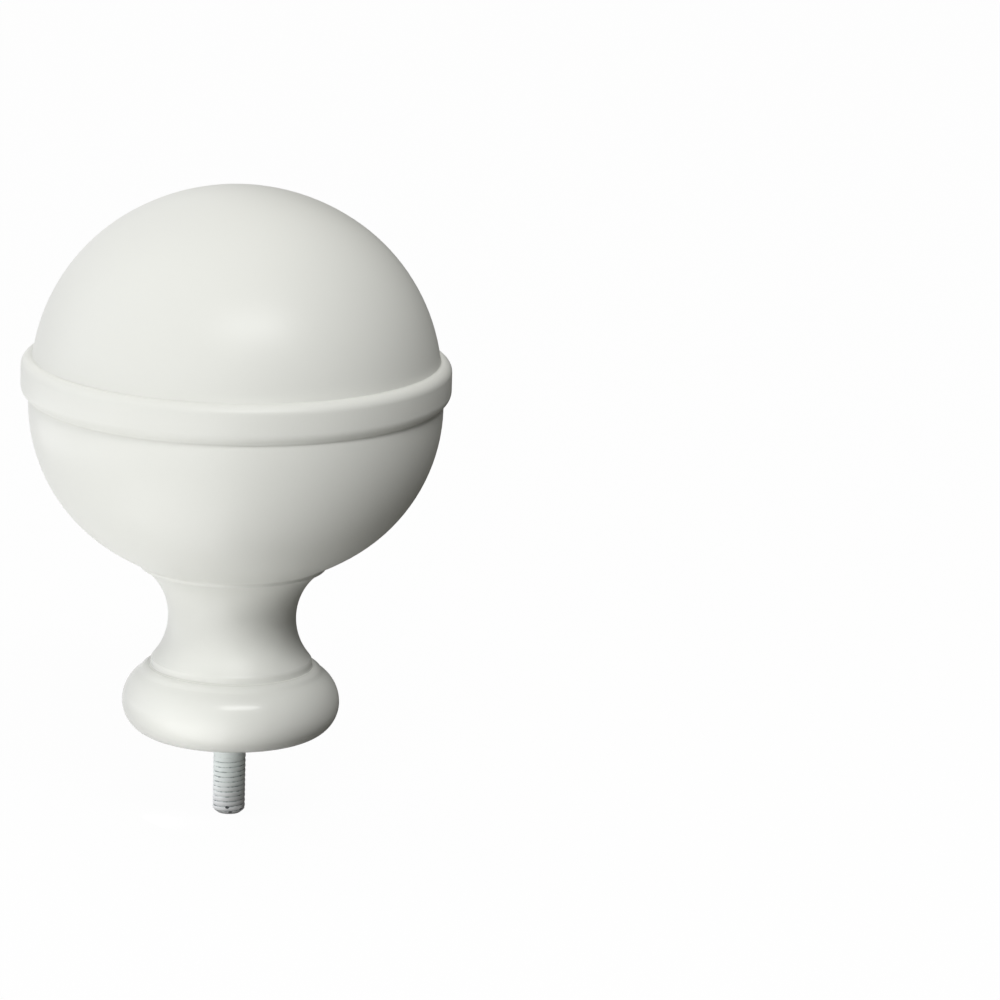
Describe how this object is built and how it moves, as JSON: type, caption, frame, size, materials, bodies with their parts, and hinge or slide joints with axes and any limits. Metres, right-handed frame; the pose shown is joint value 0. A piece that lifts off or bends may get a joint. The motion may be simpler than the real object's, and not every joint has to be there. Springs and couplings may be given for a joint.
{
  "type": "curtain pole finial",
  "caption": "Turned wooden ball finial with a raised band, a waisted neck and a round foot, screwed into a curtain pole's end by a steel stud.",
  "frame": {"origin": "centre of the flat seat that meets the pole, where the stud comes out", "axes": "+Z along the turning axis from the seat to the crown of the ball; the stud points to -Z"},
  "size_m": [0.105, 0.105, 0.1568],
  "materials": {
    "white_lacquer": "satin white lacquer, sprayed over turned wood",
    "stud_steel": "zinc-plated steel with a thin coat of overspray"
  },
  "bodies": {
    "root": {"finial_body": "white_lacquer", "threaded_stud": "stud_steel"}
  },
  "joints": []
}
